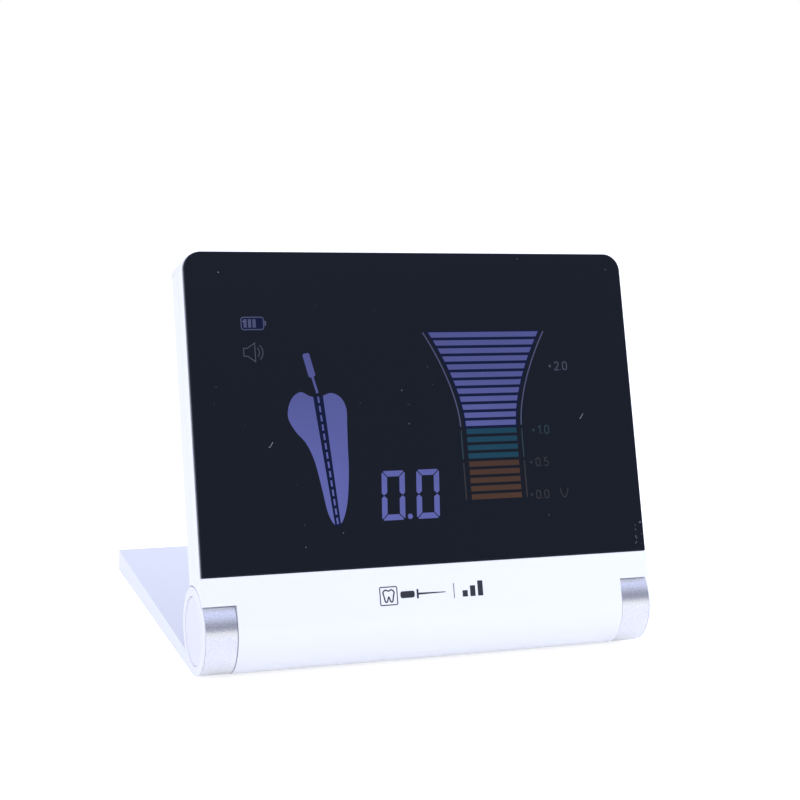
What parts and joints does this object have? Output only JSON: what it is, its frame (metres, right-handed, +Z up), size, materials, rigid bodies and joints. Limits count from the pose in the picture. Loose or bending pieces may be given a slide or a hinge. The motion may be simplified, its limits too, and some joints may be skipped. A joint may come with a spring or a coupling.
{
  "type": "apex locator",
  "caption": "Folding dental apex locator with a leaning glass-fronted display, a round hinge barrel, a flat base, side keys and a measuring-lead socket.",
  "frame": {"origin": "middle of the footprint, on the surface the feet stand on", "axes": "+X along the hinge barrel, to the right as seen from the screen side; +Y from the screen side to the back; +Z up"},
  "size_m": [0.12, 0.104, 0.1024],
  "materials": {
    "white_shell": "gloss moulded ABS",
    "white_cap": "gloss moulded ABS",
    "key_white": "satin moulded ABS",
    "black_glass": "gloss black-backed cover glass",
    "lcd": "display glass",
    "guide": "clear acrylic with white film",
    "satin_aluminium": "satin anodised",
    "sheet_steel": "zinc plated",
    "screw_steel": "nickel plated",
    "shaft_steel": "ground",
    "bronze": "sintered bronze",
    "rubber": "matt",
    "board": "solder mask over glass epoxy",
    "chip": "moulded epoxy",
    "ribbon": "polyimide film",
    "nickel": "nickel strip",
    "cell": "shrink sleeve over a steel can, mean density of a lithium cell",
    "wire": "PVC insulation"
  },
  "bodies": {
    "base": {"base_shell": "white_shell", "base_bottom_cover": "white_shell", "ballast_plate": "sheet_steel", "base_screws": "screw_steel", "rubber_feet": "rubber", "left_hinge_ring": "satin_aluminium", "right_hinge_ring": "satin_aluminium", "left_end_cap": "white_cap", "right_end_cap": "white_cap", "left_hinge_shaft": "shaft_steel", "right_hinge_shaft": "shaft_steel", "shaft_screws": "screw_steel", "thrust_washers": "bronze", "spring_washers": "screw_steel", "lock_nuts": "screw_steel"},
    "display": {"front_frame": "white_shell", "rear_cover": "white_shell", "rear_cover_screws": "screw_steel", "bumper_pads": "rubber", "cover_glass": "black_glass", "lcd_module": "lcd", "light_guide": "guide", "lcd_bracket": "sheet_steel", "bracket_screws": "screw_steel", "lcd_ribbon": "ribbon", "main_board": "board", "board_chips": "chip", "board_screws": "screw_steel", "buzzer": "chip", "measuring_jack": "chip", "charging_port": "nickel", "key_board": "board", "key_switches": "nickel", "battery_cell": "cell", "battery_tabs": "nickel", "battery_wires": "wire", "left_friction_bush": "bronze", "right_friction_bush": "bronze"},
    "power_button": {"power_key": "key_white"},
    "volume_button": {"volume_key": "key_white"},
    "mode_button": {"mode_key": "key_white"}
  },
  "joints": [
    {"name": "display_hinge", "type": "hinge", "parent": "base", "child": "display", "pos_m": [0, -0.041, 0.01165], "axis": [1, 0, 0], "range_deg": [-71, 19]},
    {"name": "power_press", "type": "slide", "parent": "display", "child": "power_button", "axis": [-1, 0, 0], "range_m": [0, 0.0005], "stiffness_N_per_m": 900, "springref_m": -0.0008},
    {"name": "volume_press", "type": "slide", "parent": "display", "child": "volume_button", "axis": [-1, 0, 0], "range_m": [0, 0.0005], "stiffness_N_per_m": 900, "springref_m": -0.0008},
    {"name": "mode_press", "type": "slide", "parent": "display", "child": "mode_button", "axis": [-1, 0, 0], "range_m": [0, 0.0005], "stiffness_N_per_m": 900, "springref_m": -0.0008}
  ]
}
